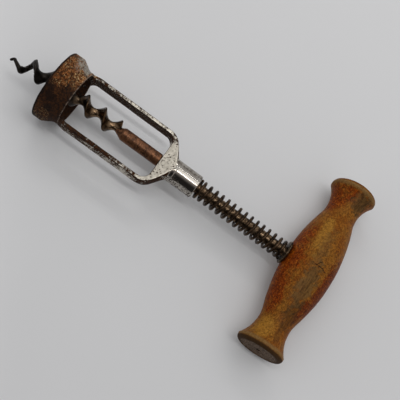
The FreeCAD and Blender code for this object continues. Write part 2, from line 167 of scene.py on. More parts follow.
# Places along the shank
def stations(scene):
    """Where the pieces start along the shank."""
    f, s = scene.corkscrew_frame, scene.corkscrew_screw
    at = {"collar": 0.0, "cage": f.collar_length}
    at["web"] = f.collar_length + f.ring_length + f.window_length
    at["stop"] = at["web"] - RUNNING_GAP - s.stop_length
    at["neck"] = at["web"] + f.web_length
    at["spring"] = at["neck"] + f.neck_length
    at["washer"] = at["spring"] + s.spring_length
    at["handle"] = at["washer"] + s.washer_thickness + SEAT_GAP
    return at


def at_station(station):
    return SHANK @ Matrix.Translation((station, 0, 0))


# Profiles and meshes
def rounded(corners):
    """The corners (station, radius, rounding) as a line of points with an arc at each rounded one."""
    line, steps = [], 6
    for i, (x, r, rounding) in enumerate(corners):
        here = Vector((x, r))
        if not rounding or i in (0, len(corners) - 1):
            line.append(here)
            continue
        back = (Vector(corners[i - 1][:2]) - here).normalized()
        ahead = (Vector(corners[i + 1][:2]) - here).normalized()
        half = back.angle(ahead) / 2
        centre = here + (back + ahead).normalized() * (rounding / math.sin(half))
        start = here + back * (rounding / math.tan(half)) - centre
        stop = here + ahead * (rounding / math.tan(half)) - centre
        turn = start.angle_signed(stop)
        line += [centre + Matrix.Rotation(-turn * k / steps, 2) @ start for k in range(steps + 1)]
    return line


def spaced(line, step):
    """The line with more points, none further apart than the step."""
    points = [line[0]]
    for a, b in zip(line, line[1:]):
        parts = max(1, math.ceil((b - a).length / step))
        points += [a.lerp(b, k / parts) for k in range(1, parts + 1)]
    return points


def loop(form, around, spot):
    """A ring of points; spot gives each one's place from the cosine and the sine of its angle."""
    turns = [TAU * k / around for k in range(around)]
    return [form.verts.new(spot(math.cos(turn), math.sin(turn))) for turn in turns]


def bridge(form, a, b):
    """Faces between two rings, either of which may be a single point."""
    count = max(len(a), len(b))
    for k in range(count):
        nxt = (k + 1) % count
        corners = [a[k % len(a)], a[nxt % len(a)], b[nxt % len(b)], b[k % len(b)]]
        corners = [v for i, v in enumerate(corners) if v not in corners[:i]]
        if len(corners) > 2:
            form.faces.new(corners)


def skinned(form, rings):
    """Bridge the rings in their order and close both ends."""
    for a, b in zip(rings, rings[1:]):
        bridge(form, a, b)
    form.faces.new(rings[0])
    form.faces.new(rings[-1])
    bmesh.ops.recalc_face_normals(form, faces=form.faces)
    return form


def lathe(line, around, closed=False):
    """A skin turned about X from the line's (station, radius) points."""
    form = bmesh.new()
    rings = []
    for x, r in line:
        on_axis = r < 1e-7
        rings.append([form.verts.new((x, 0, 0))] if on_axis
                     else loop(form, around, lambda c, s: (x, r * c, r * s)))
    for a, b in zip(rings, rings[1:] + rings[:1] * closed):
        bridge(form, a, b)
    bmesh.ops.recalc_face_normals(form, faces=form.faces)
    return form


# A rounded end in steps: how far out and how wide, as shares of the radius
ROUND_END = ((0.0, 1.0), (0.32, 0.82), (0.5, 0.45))


def tube(path, radius, around):
    """A round skin along the path, closed and rounded at both ends."""
    form, rings, last = bmesh.new(), [], len(path) - 1
    ways = [(path[min(i + 1, last)] - path[max(i - 1, 0)]).normalized() for i in range(len(path))]
    side = ways[0].orthogonal().normalized()
    steps = {0: [(-out, share) for out, share in reversed(ROUND_END)], last: ROUND_END}
    for i, (point, way) in enumerate(zip(path, ways)):
        side = (side - way * side.dot(way)).normalized()
        other = way.cross(side)
        for out, share in steps.get(i, ROUND_END[:1]):
            centre = point + way * (radius * out)
            rings.append(loop(form, around, lambda c, s: centre + (side * c + other * s) * radius * share))
    return skinned(form, rings)


def prism(outline, low, high, upright):
    """A block with the outline's (x, side) points; upright blocks run along Z, the others along Y."""
    form = bmesh.new()
    return skinned(form, [
        [form.verts.new((x, side, depth) if upright else (x, depth, side)) for x, side in outline]
        for depth in (low, high)])


def turned(name, line, step, around, closed=True):
    """The mesh of a piece turned from the line, with its points no further apart than the step."""
    return mesh_from(lathe(spaced(line, step), around, closed), name)


def joined(forms):
    """One form that holds all the forms."""
    whole = bmesh.new()
    for form in forms:
        part = bpy.data.meshes.new("part")
        form.to_mesh(part)
        form.free()
        whole.from_mesh(part)
        bpy.data.meshes.remove(part)
    return whole


def mesh_from(form, name):
    mesh = bpy.data.meshes.new(name)
    form.to_mesh(mesh)
    form.free()
    return mesh


def as_object(form, name):
    thing = bpy.data.objects.new(name, mesh_from(form, name))
    bpy.context.scene.collection.objects.link(thing)
    return thing


def carved(form, tools, name, skin=None, smoothing=0):
    """The form's mesh after the tools have cut it, with an even skin if asked."""
    whole = form.calc_volume()
    block = as_object(form, name)
    knives = []
    for tool in tools:
        knives.append(as_object(tool, name + "_tool"))
        cut = block.modifiers.new("cut", "BOOLEAN")
        cut.operation = "DIFFERENCE"
        cut.solver = "EXACT"
        cut.object = knives[-1]
    if skin:
        even = block.modifiers.new("skin", "REMESH")
        even.mode = "VOXEL"
        even.voxel_size = skin
        even.use_smooth_shade = True
        soften = block.modifiers.new("soften", "SMOOTH")
        soften.factor = 0.5
        soften.iterations = smoothing
    bpy.context.view_layer.update()
    mesh = bpy.data.meshes.new_from_object(block.evaluated_get(bpy.context.evaluated_depsgraph_get()))
    for thing in [block, *knives]:
        old = thing.data
        bpy.data.objects.remove(thing)
        bpy.data.meshes.remove(old)
    left = bmesh.new()
    left.from_mesh(mesh)
    kept = left.calc_volume() / whole
    left.free()
    if kept < 0.05:
        raise RuntimeError("%s lost its body to a cut" % name)
    mesh.name = name
    return mesh


def weather(mesh, depth, grain, seed, sharp=1.0):
    """Move the skin in and out by a smooth noise, as casting, dents and rust leave it."""
    offset = Vector((seed * 7.3, seed * 3.1, seed * 5.7))
    shifts = []
    for v in mesh.vertices:
        wave = noise.noise(v.co / grain + offset)
        shifts.append(math.copysign(abs(wave) ** sharp, wave) * depth)
    normals = [v.normal.copy() for v in mesh.vertices]
    for v, way, shift in zip(mesh.vertices, normals, shifts):
        v.co += way * shift


def place_piece(name, mesh, place, *finishes):
    """Put the mesh in its place as an object with those finishes."""
    piece = bpy.data.objects.new(name, mesh)
    if piece.name != name:
        raise RuntimeError("%s was made twice" % name)
    bpy.context.scene.collection.objects.link(piece)
    piece.matrix_world = place
    mesh.materials.clear()
    for finish in finishes:
        mesh.materials.append(finish)
    for face in mesh.polygons:
        face.use_smooth = True
    return piece


def add_piece(name, mesh, place, body, nodes, slot, *finishes):
    """Add a piece that rides on the body and stands for the nodes."""
    piece = place_piece(name, mesh, place, *finishes)
    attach(piece, body)
    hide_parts(*nodes)
    return piece


# Shader nodes
def link(tree, source, target):
    """Feed a socket from a field, a number or a colour."""
    if isinstance(source, Field):
        tree.links.new(source.socket, target)
    elif isinstance(source, tuple) and len(target.default_value) > len(source):
        target.default_value = (*source, 1.0)
    else:
        target.default_value = source


def add_node(tree, kind, output, inputs, **settings):
    """A new shader node; gives the field that comes out of it."""
    node = tree.nodes.new("ShaderNode" + kind)
    for name, value in settings.items():
        setattr(node, name, value)
    for name, source in inputs.items():
        link(tree, source, node.inputs[name])
    return Field(tree, node.outputs[output])


class Field:
    """A value that varies from place to place. Sums and products of fields are math nodes."""

    def __init__(self, tree, socket):
        self.tree, self.socket = tree, socket

    def math(self, kind, a, b):
        return add_node(self.tree, "Math", 0, {0: a, 1: b}, operation=kind)

    def __add__(self, other):
        return self.math("ADD", self, other)

    def __sub__(self, other):
        return self.math("SUBTRACT", self, other)

    def __rsub__(self, other):
        return self.math("SUBTRACT", other, self)

    def __mul__(self, other):
        return self.math("MULTIPLY", self, other)

    def __pow__(self, other):
        return self.math("POWER", self, other)

    def __abs__(self):
        return self.math("ABSOLUTE", self, 0.0)

    def axis(self, name):
        return add_node(self.tree, "SeparateXYZ", name, {0: self})

    def rise(self, low, high, to_low=0.0, to_high=1.0):
        """The value mapped smoothly from low..high to to_low..to_high."""
        inputs = {"Value": self, "From Min": low, "From Max": high, "To Min": to_low, "To Max": to_high}
        return add_node(self.tree, "MapRange", "Result", inputs, interpolation_type="SMOOTHSTEP")

    def fall(self, low, high, to_low=1.0, to_high=0.0):
        return self.rise(low, high, to_low, to_high)

    def band(self, start, full, fading, end):
        """1 from full to fading, 0 before the start and after the end."""
        return self.rise(start, full) * self.fall(fading, end)


def most(first, *others):
    """The highest of the fields at each place."""
    for other in others:
        first = first.math("MAXIMUM", first, other)
    return first


class Finish:
    """A material in the making, with short ways to add its nodes."""

    def __init__(self, name, **sockets):
        self.material = bpy.data.materials.new(name)
        self.material.use_nodes = True
        self.tree = self.material.node_tree
        self.shader = self.tree.nodes["Principled BSDF"]
        self.place = self.tree.nodes.new("ShaderNodeTexCoord")
        self.set(**sockets)

    def node(self, kind, output, inputs, **settings):
        return add_node(self.tree, kind, output, inputs, **settings)

    def coordinates(self, kind="Object"):
        return Field(self.tree, self.place.outputs[kind])

    def axis(self, name, kind="Object"):
        """One of the piece's coordinates, in metres, or of its normal."""
        return self.coordinates(kind).axis(name)

    def distance_squared(self, a, b):
        """The squared distance, in these two coordinates, from the piece's middle line."""
        return self.axis(a) ** 2.0 + self.axis(b) ** 2.0

    def outside(self):
        """1 outside the ring's bore, 0 inside it."""
        return self.distance_squared("Y", "Z").rise(0.000186, 0.000194)

    def stretched(self, x=1.0, y=1.0, z=1.0):
        """The piece's own coordinates, in millimetres, stretched along an axis."""
        scale = (x / MM, y / MM, z / MM)
        return self.node("Mapping", "Vector", {"Vector": self.coordinates(), "Scale": scale})

    def noise(self, size, detail=4.0, rough=0.55, where=None, warp=0.0):
        """A cloud from 0 to 1 with features of that size in millimetres."""
        return self.node("TexNoise", "Fac", {"Vector": where or self.stretched(), "Scale": 1.0 / size,
                                             "Detail": detail, "Roughness": rough, "Distortion": warp})

    def cells(self, size):
        """Distance to the nearest of spots scattered about that many millimetres apart."""
        return self.node("TexVoronoi", "Distance", {"Vector": self.stretched(), "Scale": 1.0 / size})

    def patch(self, place, size, ragged=0.9):
        """A soft patch about a place, with a ragged edge; place and size are in millimetres."""
        spot = self.node("Mapping", "Vector", {
            "Vector": self.coordinates(), "Scale": tuple(1.0 / (extent * MM) for extent in size),
            "Location": tuple(-at / extent for at, extent in zip(place, size))})
        away = self.node("VectorMath", "Value", {0: spot}, operation="LENGTH")
        return (away + (self.noise(2.6, 5.0, 0.7) - 0.5) * (2 * ragged)).fall(0.62, 1.12)

    def mix(self, share, a, b):
        """Colour a, turning to colour b by the share."""
        return self.node("Mix", 2, {"Factor": share, 6: a, 7: b}, data_type="RGBA")

    def blend(self, share, a, b):
        """Number a, turning to number b by the share."""
        return self.node("Mix", 0, {"Factor": share, 2: a, 3: b})

    def set(self, **sockets):
        for socket, source in sockets.items():
            link(self.tree, source, self.shader.inputs[socket.replace("_", " ")])

    def bump(self, height, depth):
        """Relief of that depth in metres."""
        self.set(Normal=self.node("Bump", "Normal", {"Strength": 1.0, "Distance": depth, "Height": height}))


def tint(name, shade=1.0):
    """One of the user's colours, darker or brighter."""
    channels = getattr(bpy.context.scene.corkscrew_colours, name)
    return tuple(min(1.0, channel * shade) for channel in channels)


# Finishes. Their places and thresholds along an axis are in metres
def rusted_iron():
    """The collar: bright rust with pale specks above, dark scale below, the split partly rust and partly
    painted light and shade; plating left on the shoulder.
    """
    f = Finish("rusted_iron", Specular_IOR_Level=0.09)
    along, side = f.axis("X"), f.axis("Y")
    cloud = f.noise(4.0, 6.0, 0.70)
    fine = f.noise(0.85, 6.0, 0.80)
    # Painted light and shade: bright rust on the side towards the light, darker scale on the far side
    lit = (side.rise(-0.0145, 0.0035) + (cloud - 0.5) * 1.6).rise(0.25, 0.85)
    rust = f.mix(fine.rise(0.43, 0.56), tint("rust", 0.09), tint("rust", 1.45))
    rust = f.mix(f.noise(2.2, 4.0, 0.6).rise(0.40, 0.56), tint("rust", 0.22), rust)
    redder = f.noise(6.5, 4.0, 0.6).rise(0.42, 0.58, 0.15, 1.0)
    scale = f.mix(fine.rise(0.40, 0.62) * redder, tint("scale", 0.9), tint("rust", 0.40))
    base = f.mix(lit, scale, rust)
    specks = f.noise(0.80, 5.0, 0.78).rise(0.55, 0.60) * cloud.rise(0.42, 0.54)
    specks = specks * most(lit.rise(0.1, 0.7), side.fall(-0.0172, -0.0140, 0.9))
    base = f.mix(specks, base, tint("speck"))
    lip = (along + fine * 0.0008).fall(0.0010, 0.0022, 0.9)
    base = f.mix(lip, base, tint("scale", 0.8))
    shoulder = (along + side.rise(0.0080, 0.0150, 0.0, 0.0026) + cloud * 0.004).rise(0.0066, 0.0086)
    plated = shoulder * f.noise(1.2, 5.0, 0.78).rise(0.42, 0.54) * side.rise(0.0040, 0.0100) * f.outside()
    dull_plate = (0.37, 0.33, 0.27)
    f.set(Base_Color=f.mix(plated, base, dull_plate), Metallic=f.blend(plated, 0.0, 0.5),
          Roughness=f.blend(fine, 0.85, 0.5))
    f.bump(fine + specks * 0.5, 0.00030)
    return f.material


def worn_nickel():
    """The cage: plating eaten by rust, most of all near the collar, inside the window and at the edges; the
    walls facing the bore and the ring's far side are also painted shade.
    """
    f = Finish("worn_nickel")
    along, side, facing = f.axis("X"), f.axis("Y"), f.axis("Z", "Normal")
    cloud = f.noise(5.0, 5.0, 0.65)
    spots = f.noise(0.95, 6.0, 0.80)
    mottle = spots.rise(0.42, 0.58)
    outside = f.outside()
    ring = along.fall(0.0056, 0.0080)
    bare = (side + spots * 0.004).rise(0.0085, 0.0125)
    crown = along.fall(0.0030, 0.0050) * bare * outside

    # How far the rust has come: less towards the web and on the ring's crown, more on the lower strap,
    # in the web's corners, on the walls and along the edges
    lower_strap = facing.rise(0.5, 0.8) * side.fall(-0.009, -0.003, 0.075)
    reach = along.fall(0.014, 0.060, 0.50, 0.405) + lower_strap * along.fall(0.046, 0.050)
    reach = reach + f.patch((53, 12.5, 3), (6, 3.5, 5)) * 0.09
    lower_corner = facing.fall(0.35, 0.6, 0.14) * along.rise(0.046, 0.052) * side.fall(-0.010, -0.004)
    reach = reach + lower_corner + facing.fall(0.3, 0.6, 0.035) - crown * 0.24
    reach = reach + facing.rise(0.18, 0.45) * facing.fall(0.72, 0.93, 0.13)
    eaten = (cloud * 0.40 + spots * 0.60).rise(0.98 - reach, 1.02 - reach)
    # The walls that face the bore are painted rusty and dark: partly rust, partly painted shade, as these
    # walls lie in shade
    inner_wall_rust_and_shade = (f.axis("Y", "Normal") * side).fall(-0.009, -0.004)
    pits = most(f.cells(1.5).fall(0.18, 0.30), f.cells(1.0).fall(0.14, 0.26))
    rusty = most(eaten, inner_wall_rust_and_shade * spots.rise(0.32, 0.48), pits * spots.rise(0.38, 0.46),
                 ring * (1.0 - bare))

    # Painted light and shade on the ring: bright rust on the side towards the light, darker copies of the
    # rust on the far side and in the bore
    lit = ring * outside * (side + cloud * 0.006).rise(-0.0010, 0.0080)
    rust = f.mix(lit, f.mix(ring, tint("rust", 0.27), tint("rust", 0.22)), tint("rust", 1.30))
    rust = f.mix(mottle, tint("scale"), rust)
    rust = f.mix(lit * f.noise(2.2, 4.0, 0.6).fall(0.40, 0.56), rust, tint("rust", 0.22))
    rust = f.mix(lit * f.noise(0.80, 5.0, 0.78).rise(0.55, 0.60), rust, tint("speck"))
    # A paler rubbed line along the ring's edge, partly wear and partly a painted highlight on that edge
    rim, rubbed = along.band(0.0041, 0.0045, 0.0047, 0.0050), (0.30, 0.24, 0.19)
    rust = f.mix(rim * outside * spots.rise(0.44, 0.58, 0.0, 0.7), rust, rubbed)
    yellowed, cream = (0.46, 0.42, 0.35), (0.66, 0.61, 0.52)
    tarnished, dull = (0.15, 0.13, 0.105), (0.42, 0.38, 0.31)
    plate = f.mix(f.noise(1.8, 4.0, 0.6).rise(0.3, 0.7), yellowed, cream)
    plate = f.mix(crown, plate, f.mix(mottle, tarnished, dull))
    f.set(Base_Color=f.mix(rusty, plate, rust), Metallic=f.blend(rusty, 1.0, 0.1),
          Roughness=f.blend(rusty, f.blend(spots, 0.24, 0.46), 0.75), Specular_IOR_Level=0.13)
    f.bump(spots * 0.35 - rusty, 0.00014)
    return f.material


def bright_nickel(name="bright_nickel"):
    """The neck: polished plating with fine turning marks, a hazy band above, a brown band painted below
    where it mirrors the dark room, and dark specks.
    """
    f = Finish(name, Metallic=1.0)
    side = f.axis("Y")
    marks = f.noise(1.0, 3.0, 0.6, f.stretched(0.35, 3.0, 3.0))
    cloud = f.noise(2.5, 5.0, 0.65)
    below = (side + f.axis("X").fall(0.001, 0.008, -0.0016)).fall(-0.0056, -0.0042)
    above = side.rise(0.0018, 0.0030) * side.fall(0.0036, 0.0050, 1.0, 0.2)
    specks = f.noise(0.80, 4.0, 0.72).rise(0.48, 0.53) * cloud.rise(0.33, 0.46) * most(below, above * 0.8)
    # Painted reflection: a brown band along the lower side, where the polish mirrors the dark part of the
    # room; partly tarnish
    reflection_band_brown, haze = (0.20, 0.145, 0.105), (0.25, 0.21, 0.165)
    reflection_band = side.band(-0.0050, -0.0042, -0.0016, -0.0002) * marks.rise(0.35, 0.65, 0.25, 0.65)
    hazy = side.rise(0.0010, 0.0026) * cloud.rise(0.42, 0.60, 0.10, 0.75)
    plate = f.mix(marks, tint("nickel", 0.56), tint("nickel", 0.86))
    plate = f.mix(hazy, f.mix(reflection_band, plate, reflection_band_brown), haze)
    f.set(Base_Color=f.mix(specks, plate, tint("scale", 2.5)),
          Roughness=f.blend(specks, f.blend(marks, 0.07, 0.14), 0.7))
    f.bump(marks * 0.15 - specks, 0.00001)
    return f.material


def dark_wire():
    """The spring: blackened wire with brown glints where it has been rubbed."""
    f = Finish("dark_spring_steel", Metallic=0.9, Specular_IOR_Level=0.4)
    cloud = f.noise(2.4, 5.0, 0.65)
    grit = f.noise(0.4, 4.0, 0.7)
    base = f.mix(cloud.rise(0.38, 0.64), tint("wire", 0.24), tint("wire", 1.6))
    base = f.mix(grit.rise(0.56, 0.68), base, tint("rust", 0.32))
    f.set(Base_Color=base, Roughness=f.blend(grit, 0.22, 0.45))
    f.bump(grit, 0.00005)
    return f.material


def browned_steel():
    """The stop behind the worm: browned steel with faint turning rings."""
    f = Finish("browned_steel", Metallic=0.65, Specular_IOR_Level=0.3)
    rings = f.noise(0.45, 4.0, 0.7, f.stretched(1.0, 0.25, 0.25), 0.3)
    cloud = f.noise(2.6, 6.0, 0.72)
    base = f.mix(cloud.rise(0.36, 0.66), tint("brown", 0.32), tint("brown", 1.25))
    base = f.mix(rings.rise(0.50, 0.66) * 0.70, base, tint("brown", 2.2))
    base = f.mix(f.noise(0.7, 5.0, 0.75).rise(0.54, 0.66) * 0.8, base, tint("scale", 2.0))
    f.set(Base_Color=base, Roughness=f.blend(cloud, 0.30, 0.50))
    f.bump(rings, 0.00005)
    return f.material


def rubbed_steel():
    """The shank under the spring: brown steel, rubbed bright in places by the spring."""
    f = Finish("rubbed_steel", Metallic=1.0)
    cloud = f.noise(1.4, 5.0, 0.7)
    rubbed = (0.30, 0.205, 0.125)
    f.set(Base_Color=f.mix(cloud.rise(0.48, 0.64), tint("wire"), rubbed),
          Roughness=f.blend(cloud, 0.5, 0.28))
    f.bump(f.noise(0.5, 3.0, 0.6, f.stretched(1.0, 0.1, 0.1)), 0.00002)
    return f.material


def bronzed_steel():
    """The worm: bronze-brown in the cage with a painted highlight on its core, nearly black at its free end,
    and painted darker near the ring as painted shade.
    """
    f = Finish("bronzed_steel", Metallic=1.0)
    cloud = f.noise(2.2, 5.0, 0.65)
    grit = f.noise(0.4, 4.0, 0.7)
    # Nearly black at the free end; the dark reaches on into the cage, where it is painted shade near the
    # collar's ring
    free = (f.axis("X") + cloud * 0.006).fall(-0.032, -0.011)
    # Painted highlight: the core between the fin's turns is painted paler, standing in for the highlight
    # that runs along it
    core_highlight = (f.distance_squared("Y", "Z") ** 0.5).fall(0.0016, 0.0026)
    core_highlight_colour, black, dark_grey = (0.245, 0.160, 0.093), (0.010, 0.009, 0.008), (0.038, 0.032, 0.027)
    base = f.mix(cloud.rise(0.36, 0.64), tint("bronze", 0.22), tint("bronze"))
    base = f.mix(core_highlight * 0.75, base, core_highlight_colour)
    base = f.mix(free, base, f.mix(cloud, black, dark_grey))
    base = f.mix(grit.rise(0.58, 0.70), base, tint("rust", 0.28))
    f.set(Base_Color=base, Roughness=f.blend(grit, f.blend(free, 0.17, 0.32), f.blend(free, 0.34, 0.55)))
    f.bump(grit, 0.00004)
    return f.material


def rove_metal():
    """The rove and the riveted end: dull brown metal."""
    f = Finish("rove_metal", Metallic=0.9)
    cloud = f.noise(1.4, 5.0, 0.65)
    dull_brass = (0.30, 0.22, 0.13)
    f.set(Base_Color=f.mix(cloud, tint("brown", 0.5), dull_brass), Roughness=f.blend(cloud, 0.35, 0.6))
    f.bump(cloud, 0.00005)
    return f.material


def washer_metal():
    """The washer: dark steel, rubbed pale in places."""
    f = Finish("washer_metal", Metallic=1.0)
    cloud = f.noise(1.5, 5.0, 0.65)
    rubbed = (0.22, 0.17, 0.11)
    f.set(Base_Color=f.mix(cloud.rise(0.46, 0.66), tint("wire", 0.8), rubbed),
          Roughness=f.blend(cloud, 0.5, 0.3))
    f.bump(cloud, 0.00004)
    return f.material


def varnished_wood():
    """The handle: ochre wood, red-brown varnish in blotches, grey where hands have worn it through."""
    f = Finish("varnished_wood", Coat_Weight=0.02, Coat_Roughness=0.3, Specular_IOR_Level=0.05)
    grain = f.noise(0.9, 6.0, 0.7, f.stretched(1.0, 0.16, 1.0), 0.5)
    crackle = f.noise(0.85, 6.0, 0.78, f.stretched(1.0, 0.75, 1.0), 0.6)
    pores = f.noise(0.34, 3.0, 0.65, f.stretched(1.0, 0.22, 1.0)).rise(0.56, 0.68)
    cloud = f.noise(7.0, 6.0, 0.66, f.stretched(1.0, 0.55, 1.0))
    across, along = f.axis("X"), f.axis("Y")
    from_middle = abs(along)

    # Where the varnish is thick, worn through, dirty or golden
    left = most(f.patch((-11.5, -7, 5), (6.5, 27, 10)), f.patch((-8.5, -24, 6), (4.5, 9, 6)),
                f.patch((-8, 37, 5), (5.5, 9, 8)) * 0.9, f.patch((-3, 41, 8), (6, 4.5, 7)))
    right = most(f.patch((9.5, -9, 7), (4.6, 22, 8)), f.patch((5.6, -22, 8), (3.0, 8, 5)))
    grey = most(f.patch((0.4, -13, 12), (4.4, 16, 6), 1.5), f.patch((-1.5, 8, 13), (3.0, 16, 4), 1.5) * 0.5,
                f.patch((3.5, 40, 9), (6, 6.5, 6), 1.4) * 0.9)
    dark = most(f.patch((2.6, -28, 9), (4.4, 9, 5), 1.4), f.patch((5.0, 40, 8), (4.5, 6, 5), 1.3),
                f.patch((2.0, -38, 8), (2.0, 7, 4), 1.2) * 0.6)
    gold = most(f.patch((-5.5, -39, 6.5), (5.5, 6.5, 6)), f.patch((-4.5, 14, 11), (3.2, 14, 5)))

    thin_varnish, bright_gold, fleck = (0.27, 0.082, 0.006), (0.40, 0.19, 0.026), (0.44, 0.16, 0.012)
    base = f.mix(crackle.rise(0.38, 0.60), tint("wood", 0.46), tint("wood", 1.38))
    thin = f.mix(crackle.rise(0.36, 0.66), tint("varnish", 0.55), thin_varnish)
    base = f.mix(cloud.rise(0.44, 0.58, 0.10, 0.65), base, thin)
    base = f.mix(gold * 0.8, base, f.mix(crackle.rise(0.34, 0.62), tint("wood", 0.75), bright_gold))
    red = f.mix(crackle.rise(0.42, 0.58), tint("varnish", 0.40), tint("varnish", 1.45))
    base = f.mix(left * cloud.rise(0.36, 0.52, 0.45, 1.0), base, red)
    base = f.mix(right, base, f.mix(crackle.rise(0.38, 0.62), tint("varnish", 0.30), tint("varnish", 1.10)))
    base = f.mix(crackle.rise(0.57, 0.64) * most(left, right) * 0.8, base, fleck)
    streaks = grain.rise(0.36, 0.64)
    base = f.mix(grey * 0.78, base, f.mix(streaks, tint("worn", 0.50), tint("worn", 1.45)))
    dirt, dusty, pore = (0.030, 0.015, 0.005), (0.085, 0.045, 0.015), (0.030, 0.013, 0.003)
    base = f.mix(dark * 0.55, base, f.mix(streaks, dirt, dusty))
    base = f.mix(pores * 0.55, base, pore)

    # The split across the grain, with a short second crack
    wobble = (cloud - 0.5) * 0.006
    long_split = abs(along + across * 0.10 + (wobble + 0.0012)).fall(0.00010, 0.00034)
    short_split = abs(along - across * 1.3 + wobble).fall(0.00012, 0.00040)
    crack = most(long_split * f.patch((1.6, -1.2, 12.8), (5.0, 2.5, 3), 0.3),
                 short_split * f.patch((0.0, 0.0, 13.1), (1.8, 2.4, 2), 0.3))
    deep = (0.010, 0.005, 0.002)
    base = f.mix(crack * 0.9, base, deep)

    # The rims are rubbed pale, the edges beyond them are painted dark as painted shade, most at the lower
    # end, and the end faces bare
    rubbed, painted_shade_dark, painted_shade_brown = (0.21, 0.125, 0.045), (0.020, 0.009, 0.003), (0.075, 0.036, 0.012)
    late_wood, early_wood = (0.012, 0.006, 0.003), (0.230, 0.155, 0.105)
    rim = from_middle.band(0.0436, 0.0452, 0.0458, 0.0466) * crackle.rise(0.35, 0.6, 0.25, 0.9)
    base = f.mix(rim, base, rubbed)
    # Painted shade on the rounding beyond each rim, strongest at the lower end, which faces away from the
    # light
    edge = from_middle.rise(0.0458, 0.0467) * along.fall(-0.01, 0.01, 1.0, 0.2)
    base = f.mix(edge, base, f.mix(crackle, painted_shade_dark, painted_shade_brown))
    end_grain = f.noise(0.5, 3.0, 0.7, f.stretched(1.0, 0.3, 1.0), 0.8).rise(0.35, 0.65)
    ends = from_middle.rise(0.0470, 0.0475) * (f.distance_squared("X", "Z") ** 0.5).fall(0.0092, 0.0101)
    base = f.mix(ends, base, f.mix(end_grain, late_wood, early_wood))
    f.set(Base_Color=base, Roughness=f.blend(most(grey, edge), f.blend(crackle, 0.34, 0.52), 0.65))
    f.bump(crackle * 0.6 - pores * 0.4 - crack * 0.8, 0.00014)
    return f.material


def plain_table():
    """The pale table top: smooth, with the faintest mottling, and painted a little lighter on the left as
    painted light.
    """
    f = Finish("table_top", Roughness=0.75, Specular_IOR_Level=0.2)
    mottled = f.mix(f.noise(120.0, 3.0, 0.5), tint("table", 0.975), tint("table", 1.02))
    # Painted light: the table is painted a little lighter towards the left, where more light falls
    left = (f.axis("X") * 0.86 + f.axis("Y") * 0.50).fall(-0.105, -0.055)
    f.set(Base_Color=f.mix(left, mottled, tint("table", 1.085)))
    return f.material


# Operators: one for each piece or pair of washers, and one for the stage
class CORKSCREW_OT_collar(bpy.types.Operator):
    """Turn the bell collar, with its mouth, lip and sloping shoulder"""

    bl_idname = "corkscrew.collar"
    bl_label = "Bell collar"

    def execute(self, context):
        s = context.scene.corkscrew_frame
        bevel, shoulder = 0.6 * MM, s.collar_length - 3.0 * MM
        line = [*rounded([
            (s.mouth_depth, s.ring_bore, 0),
            (s.mouth_depth, s.mouth_radius, 0.25 * MM),
            (bevel, s.mouth_radius, 0.2 * MM),
            (0.0, s.mouth_radius + bevel, 0.3 * MM),
            (0.0, s.collar_radius, 0.7 * MM),
            (shoulder, s.collar_radius, 1.1 * MM),
            (s.collar_length, s.shoulder_radius, 0),
        ]), Vector((s.collar_length, s.ring_bore))]
        mesh = turned("bell_collar", line, step=0.35 * MM, around=260)
        weather(mesh, depth=0.10 * MM, grain=5.0 * MM, seed=1)
        weather(mesh, depth=0.07 * MM, grain=0.9 * MM, seed=2, sharp=1.4)
        add_piece("bell_collar", mesh, SHANK, "frame", ["collar"], "rusted_iron", rusted_iron())
        return {"FINISHED"}


class CORKSCREW_OT_cage(bpy.types.Operator):
    """Carve the cage: two straps, a ring at the collar and a web at the neck"""

    bl_idname = "corkscrew.cage"
    bl_label = "Cage"

    def execute(self, context):
        s = context.scene.corkscrew_frame
        window_end = s.ring_length + s.window_length
        end = window_end + s.web_length
        mesh = carved(cage_blank(s, end), cage_cuts(s, window_end, end), "plated_cage", s.skin, smoothing=3)
        weather(mesh, depth=0.09 * MM, grain=6.0 * MM, seed=3)
        weather(mesh, depth=0.05 * MM, grain=0.9 * MM, seed=4, sharp=1.5)
        add_piece("plated_cage", mesh, at_station(stations(context.scene)["cage"]), "frame", ["cage"],
                  "worn_nickel", worn_nickel(), bright_nickel("cage_lip"))
        lip_from, lip_radius = end + 0.1 * MM, s.neck_radius - 0.14 * MM
        for face in mesh.polygons:
            x, y, z = face.center
            face.material_index = int(x > lip_from and math.hypot(y, z) > lip_radius)
        return {"FINISHED"}


def cage_blank(s, end):
    """The turned blank of the cage, from inside the collar to the lip over the neck."""
    sunk, waist_from, waist_to, full_from = -0.4 * MM, 2.2 * MM, 4.2 * MM, 8.0 * MM
    taper_from, taper_to, lap = end - 6.9 * MM, end - 0.1 * MM, end + CAGE_LAP
    lip_radius = s.neck_radius + 0.02 * MM
    return lathe(rounded([
        (sunk, 0.0, 0), (sunk, s.shoulder_radius + 0.1 * MM, 0),
        (waist_from, s.waist_radius, 3.0 * MM), (waist_to, s.waist_radius, 3.0 * MM),
        (full_from, s.ring_radius, 6.0 * MM), (taper_from, s.ring_radius, 9.0 * MM),
        (taper_to, lip_radius, 1.2 * MM), (lap, lip_radius, 0), (lap, 0.0, 0),
    ]), around=160)


